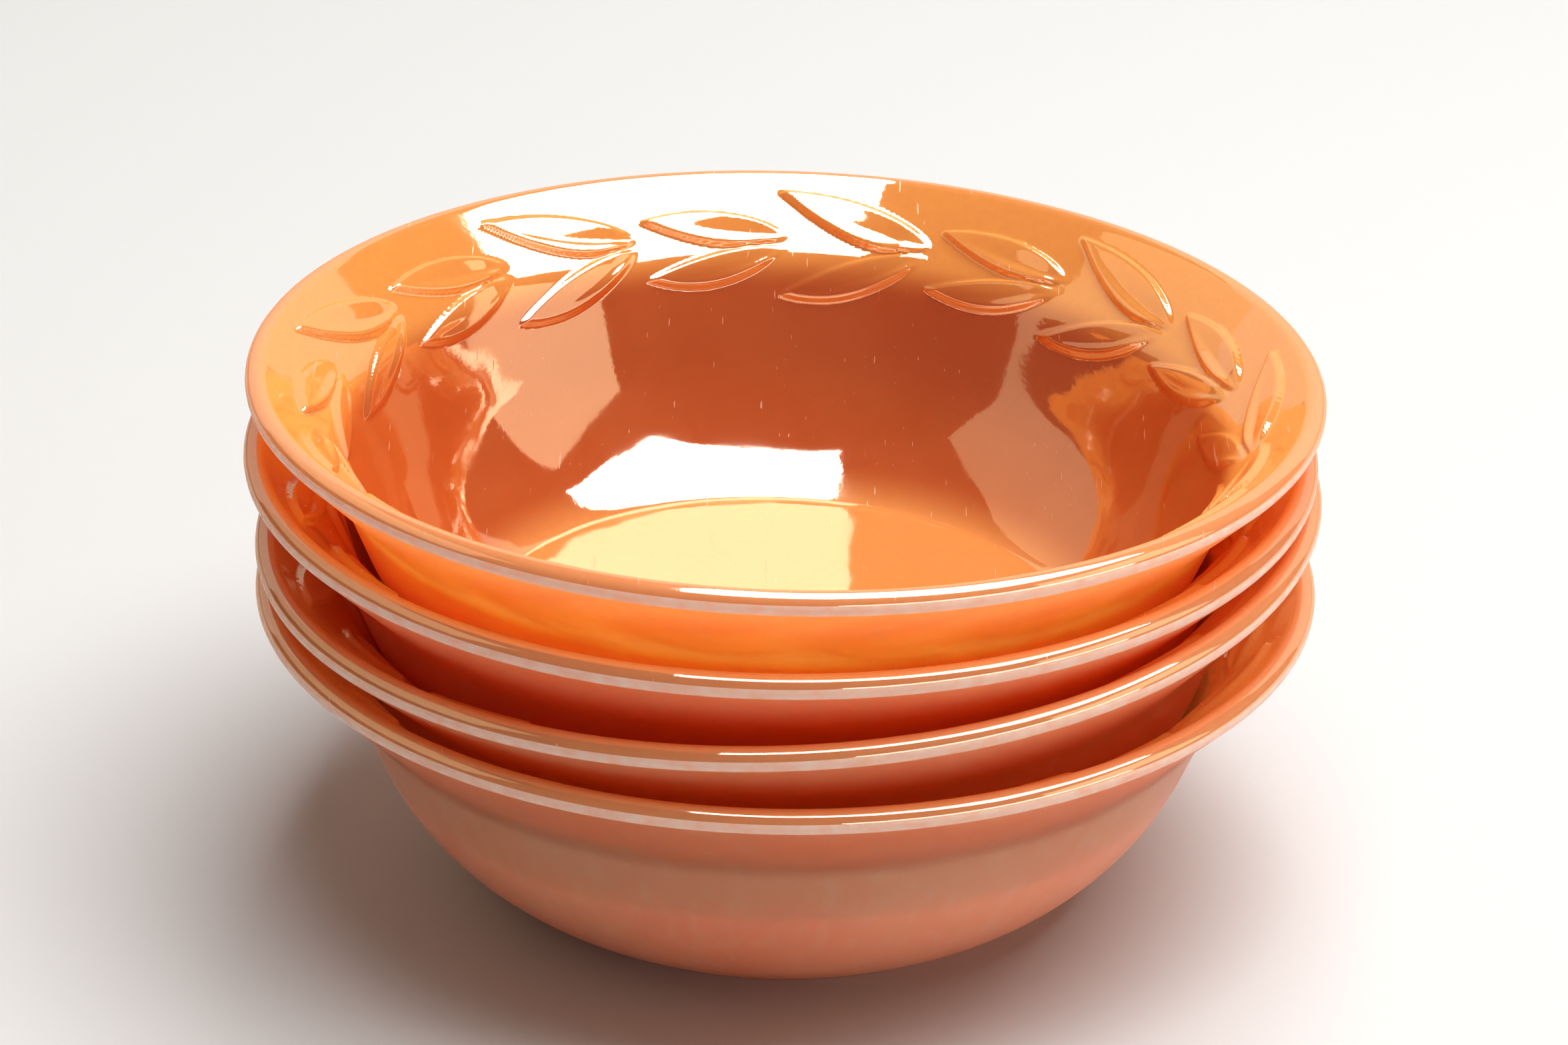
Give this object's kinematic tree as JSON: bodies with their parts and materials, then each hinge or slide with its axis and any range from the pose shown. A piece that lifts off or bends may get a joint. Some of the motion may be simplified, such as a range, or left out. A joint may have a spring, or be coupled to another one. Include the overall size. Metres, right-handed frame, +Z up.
{
  "type": "carnival glass bowl",
  "caption": "Nested small round dessert bowls in opal glass with an iridescent peach lustre, each with a foot ring, a round wall and a flared rim with a leaf wreath in relief.",
  "frame": {"origin": "on the table, at the centre of the bottom bowl's foot ring", "axes": "+Z up out of the bowls and along the way they lift off each other; +X to the right and -Y towards the viewer as the stack is seen from the front"},
  "size_m": [0.1245, 0.1244, 0.0645],
  "materials": {
    "peach_lustre": "opaque white opal glass with a glossy iridescent peach to copper lustre all over, lightly scratched inside and worn pale on the lip"
  },
  "bodies": {
    "bottom_bowl": {"bottom_bowl": "peach_lustre"},
    "second_bowl": {"second_bowl": "peach_lustre"},
    "third_bowl": {"third_bowl": "peach_lustre"},
    "top_bowl": {"top_bowl": "peach_lustre"}
  },
  "joints": [
    {"name": "lift_second_bowl", "type": "slide", "parent": "bottom_bowl", "child": "second_bowl", "axis": [0, 0, 1], "range_m": [0, 0.05]},
    {"name": "lift_third_bowl", "type": "slide", "parent": "second_bowl", "child": "third_bowl", "axis": [0, 0, 1], "range_m": [0, 0.05]},
    {"name": "lift_top_bowl", "type": "slide", "parent": "third_bowl", "child": "top_bowl", "axis": [0, 0, 1], "range_m": [0, 0.05]}
  ]
}
